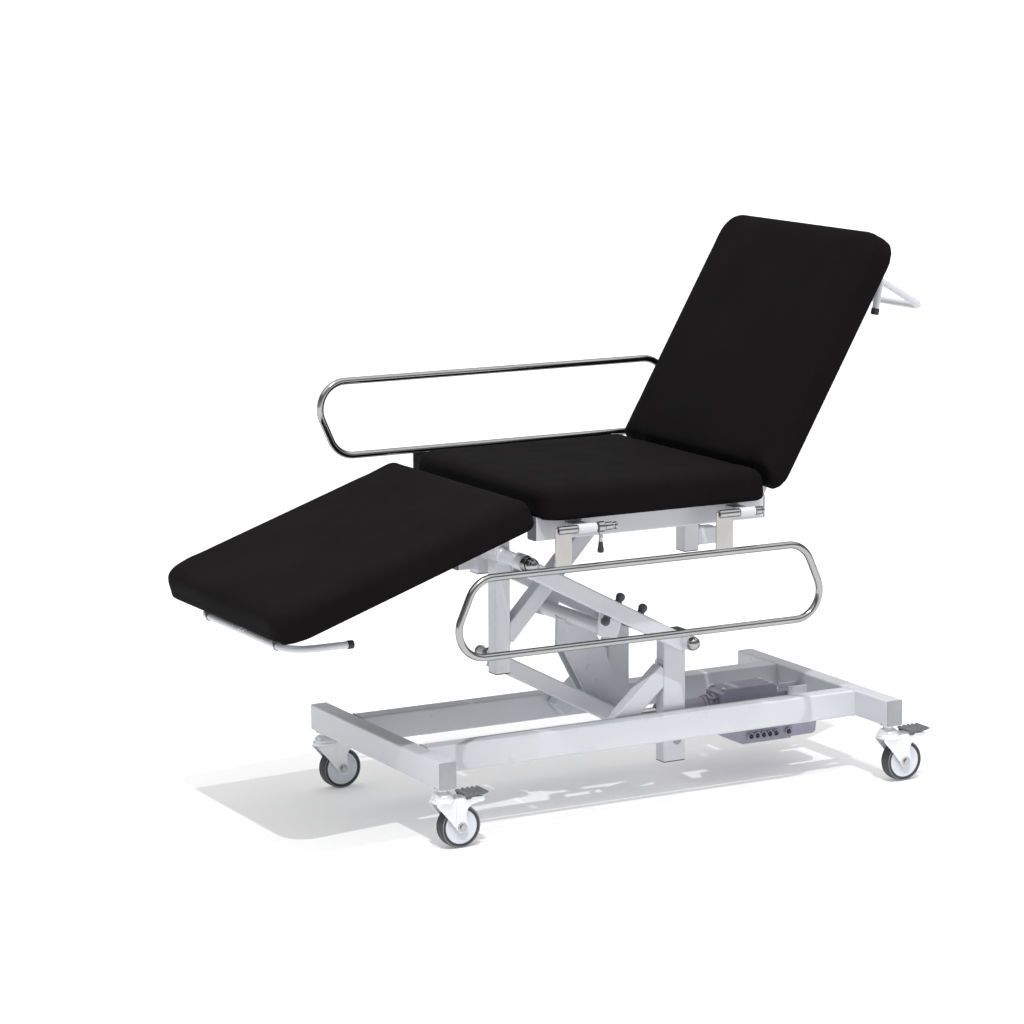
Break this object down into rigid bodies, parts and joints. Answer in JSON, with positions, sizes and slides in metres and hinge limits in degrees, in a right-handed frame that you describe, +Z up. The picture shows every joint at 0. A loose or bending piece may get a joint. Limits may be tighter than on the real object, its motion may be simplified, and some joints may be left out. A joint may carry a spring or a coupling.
{
  "type": "examination couch",
  "caption": "Mobile examination couch with three padded sections on a parallelogram lift, folding guard rails and braked castors.",
  "frame": {"origin": "floor, below the middle of the couch's overall length and width", "axes": "+X towards the head end, +Y towards the far side, +Z up"},
  "size_m": [1.7837, 0.724, 1.3424],
  "materials": {
    "paint": "gloss white powder coat",
    "cap_plastic": "satin moulded plugs",
    "actuator_plastic": "fine grained housing",
    "chrome": "polished",
    "zinc": "bright zinc plate",
    "vinyl": "fine grained upholstery vinyl",
    "rubber": "matt",
    "tyre": "grey non-marking rubber",
    "wheel_plastic": "white moulded wheel centre"
  },
  "bodies": {
    "base": {"base_foot_tube": "paint", "base_head_tube": "paint", "base_side_near": "paint", "base_side_far": "paint", "lift_shaft_base": "chrome", "end_cap_foot_near": "cap_plastic", "end_cap_foot_far": "cap_plastic", "end_cap_head_near": "cap_plastic", "end_cap_head_far": "cap_plastic"},
    "castor_foot_near": {"castor_fork_foot_near": "zinc"},
    "wheel_foot_near": {"castor_wheel_foot_near": "wheel_plastic", "castor_tyre_foot_near": "tyre"},
    "pedal_foot_near": {"brake_pedal_foot_near": "rubber"},
    "castor_foot_far": {"castor_fork_foot_far": "zinc"},
    "wheel_foot_far": {"castor_wheel_foot_far": "wheel_plastic", "castor_tyre_foot_far": "tyre"},
    "castor_head_near": {"castor_fork_head_near": "zinc"},
    "wheel_head_near": {"castor_wheel_head_near": "wheel_plastic", "castor_tyre_head_near": "tyre"},
    "pedal_head_near": {"brake_pedal_head_near": "rubber"},
    "castor_head_far": {"castor_fork_head_far": "zinc"},
    "wheel_head_far": {"castor_wheel_head_far": "wheel_plastic", "castor_tyre_head_far": "tyre"},
    "pedal_head_far": {"brake_pedal_head_far": "rubber"},
    "lift": {"upper_link_near": "paint", "upper_link_far": "paint", "lift_lever": "paint", "buffer_1": "rubber", "buffer_2": "rubber", "buffer_3": "rubber"},
    "lower_link": {"lower_link": "paint"},
    "actuator": {"actuator_body": "actuator_plastic", "control_box": "actuator_plastic"},
    "push_rod": {"actuator_rod": "chrome"},
    "seat": {"seat_rail_near": "paint", "seat_rail_far": "paint", "seat_cross_foot": "paint", "seat_cross_head": "paint", "column": "paint", "seat_pad": "vinyl", "lift_shaft_seat": "chrome"},
    "leg": {"leg_tube_near": "paint", "leg_tube_far": "paint", "leg_hand_bar": "paint", "leg_cross": "paint", "leg_pad": "vinyl"},
    "back": {"back_tube_near": "paint", "back_tube_far": "paint", "back_hand_bar": "paint", "back_push_bar": "paint", "back_cross": "paint", "back_pad": "vinyl"},
    "leg_strut": {"leg_strut_body": "rubber"},
    "leg_strut_rod": {"leg_strut_rod": "chrome"},
    "back_strut": {"back_strut_body": "rubber"},
    "back_strut_rod": {"back_strut_rod": "chrome"},
    "guard_near": {"guard_rail_near": "chrome"},
    "lever_near": {"guard_lever_near": "zinc"},
    "guard_far": {"guard_rail_far": "chrome"},
    "lever_far": {"guard_lever_far": "zinc"}
  },
  "joints": [
    {"name": "castor_swivel_foot_near", "type": "hinge", "parent": "base", "child": "castor_foot_near", "pos_m": [-0.4764, -0.306, 0.143], "axis": [0, 0, 1], "continuous": true},
    {"name": "wheel_spin_foot_near", "type": "hinge", "parent": "castor_foot_near", "child": "wheel_foot_near", "pos_m": [-0.4364, -0.306, 0.0495], "axis": [0, 1, 0], "continuous": true},
    {"name": "brake_foot_near", "type": "hinge", "parent": "castor_foot_near", "child": "pedal_foot_near", "pos_m": [-0.4224, -0.306, 0.112], "axis": [0, 1, 0], "range_deg": [-8, 0]},
    {"name": "castor_swivel_foot_far", "type": "hinge", "parent": "base", "child": "castor_foot_far", "pos_m": [-0.4764, 0.306, 0.143], "axis": [0, 0, 1], "continuous": true},
    {"name": "wheel_spin_foot_far", "type": "hinge", "parent": "castor_foot_far", "child": "wheel_foot_far", "pos_m": [-0.4364, 0.306, 0.0495], "axis": [0, 1, 0], "continuous": true},
    {"name": "castor_swivel_head_near", "type": "hinge", "parent": "base", "child": "castor_head_near", "pos_m": [0.7406, -0.306, 0.143], "axis": [0, 0, 1], "continuous": true},
    {"name": "wheel_spin_head_near", "type": "hinge", "parent": "castor_head_near", "child": "wheel_head_near", "pos_m": [0.7806, -0.306, 0.0495], "axis": [0, 1, 0], "continuous": true},
    {"name": "brake_head_near", "type": "hinge", "parent": "castor_head_near", "child": "pedal_head_near", "pos_m": [0.7946, -0.306, 0.112], "axis": [0, 1, 0], "range_deg": [-8, 0]},
    {"name": "castor_swivel_head_far", "type": "hinge", "parent": "base", "child": "castor_head_far", "pos_m": [0.7406, 0.306, 0.143], "axis": [0, 0, 1], "continuous": true},
    {"name": "wheel_spin_head_far", "type": "hinge", "parent": "castor_head_far", "child": "wheel_head_far", "pos_m": [0.7806, 0.306, 0.0495], "axis": [0, 1, 0], "continuous": true},
    {"name": "brake_head_far", "type": "hinge", "parent": "castor_head_far", "child": "pedal_head_far", "pos_m": [0.7946, 0.306, 0.112], "axis": [0, 1, 0], "range_deg": [-8, 0]},
    {"name": "lift", "type": "hinge", "parent": "base", "child": "lift", "pos_m": [0.2376, 0, 0.38], "axis": [0, 1, 0], "range_deg": [-24, 20]},
    {"name": "seat_level", "type": "hinge", "parent": "lift", "child": "seat", "pos_m": [-0.1964, 0, 0.6094], "axis": [0, 1, 0], "range_deg": [-21, 25]},
    {"name": "lower_link_swing", "type": "hinge", "parent": "base", "child": "lower_link", "pos_m": [0.2376, 0, 0.132], "axis": [0, 1, 0], "range_deg": [-25, 21]},
    {"name": "actuator_tilt", "type": "hinge", "parent": "base", "child": "actuator", "pos_m": [0.6776, 0.036, 0.156], "axis": [0, 1, 0], "range_deg": [-3, 3]},
    {"name": "actuator_stroke", "type": "slide", "parent": "actuator", "child": "push_rod", "axis": [-1, 0, 0], "range_m": [-0.094, 0.079]},
    {"name": "leg_tilt", "type": "hinge", "parent": "seat", "child": "leg", "pos_m": [-0.2109, 0, 0.714], "axis": [0, 1, 0], "range_deg": [-10, 18.9]},
    {"name": "back_tilt", "type": "hinge", "parent": "seat", "child": "back", "pos_m": [0.3978, 0, 0.7353], "axis": [0, -1, 0], "range_deg": [-60, 0]},
    {"name": "leg_strut_swing", "type": "hinge", "parent": "seat", "child": "leg_strut", "pos_m": [-0.2324, 0.072, 0.588], "axis": [0, 1, 0], "range_deg": [-12, 22]},
    {"name": "leg_strut_stroke", "type": "slide", "parent": "leg_strut", "child": "leg_strut_rod", "axis": [-0.9951, 0, -0.0985], "range_m": [-0.03, 0.05]},
    {"name": "back_strut_swing", "type": "hinge", "parent": "seat", "child": "back_strut", "pos_m": [0.4156, 0.072, 0.588], "axis": [0, -1, 0], "range_deg": [-50, 1]},
    {"name": "back_strut_stroke", "type": "slide", "parent": "back_strut", "child": "back_strut_rod", "axis": [0.4292, 0, 0.9032], "range_m": [-0.13, 0.001]},
    {"name": "guard_near", "type": "hinge", "parent": "seat", "child": "guard_near", "pos_m": [0.0256, -0.35, 0.7105], "axis": [-1, 0, 0], "range_deg": [0, 180]},
    {"name": "guard_lever_near", "type": "hinge", "parent": "seat", "child": "lever_near", "pos_m": [-0.0904, -0.35, 0.7105], "axis": [-1, 0, 0], "range_deg": [0, 60]},
    {"name": "guard_far", "type": "hinge", "parent": "seat", "child": "guard_far", "pos_m": [0.0256, 0.35, 0.7105], "axis": [-1, 0, 0], "range_deg": [0, 180]},
    {"name": "guard_lever_far", "type": "hinge", "parent": "seat", "child": "lever_far", "pos_m": [-0.0904, 0.35, 0.7105], "axis": [1, 0, 0], "range_deg": [0, 60]}
  ],
  "couplings": [
    {"joint": "seat_level", "follows": "lift", "ratio": -1},
    {"joint": "lower_link_swing", "follows": "lift", "ratio": 1},
    {"joint": "actuator_tilt", "follows": "lift", "ratio": 0.11},
    {"joint": "actuator_stroke", "follows": "lift", "m_per_rad": 0.22},
    {"joint": "leg_strut_swing", "follows": "leg_tilt", "ratio": 1.064},
    {"joint": "leg_strut_stroke", "follows": "leg_tilt", "m_per_rad": 0.1249},
    {"joint": "back_strut_swing", "follows": "back_tilt", "ratio": 0.725},
    {"joint": "back_strut_stroke", "follows": "back_tilt", "m_per_rad": 0.1129}
  ]
}
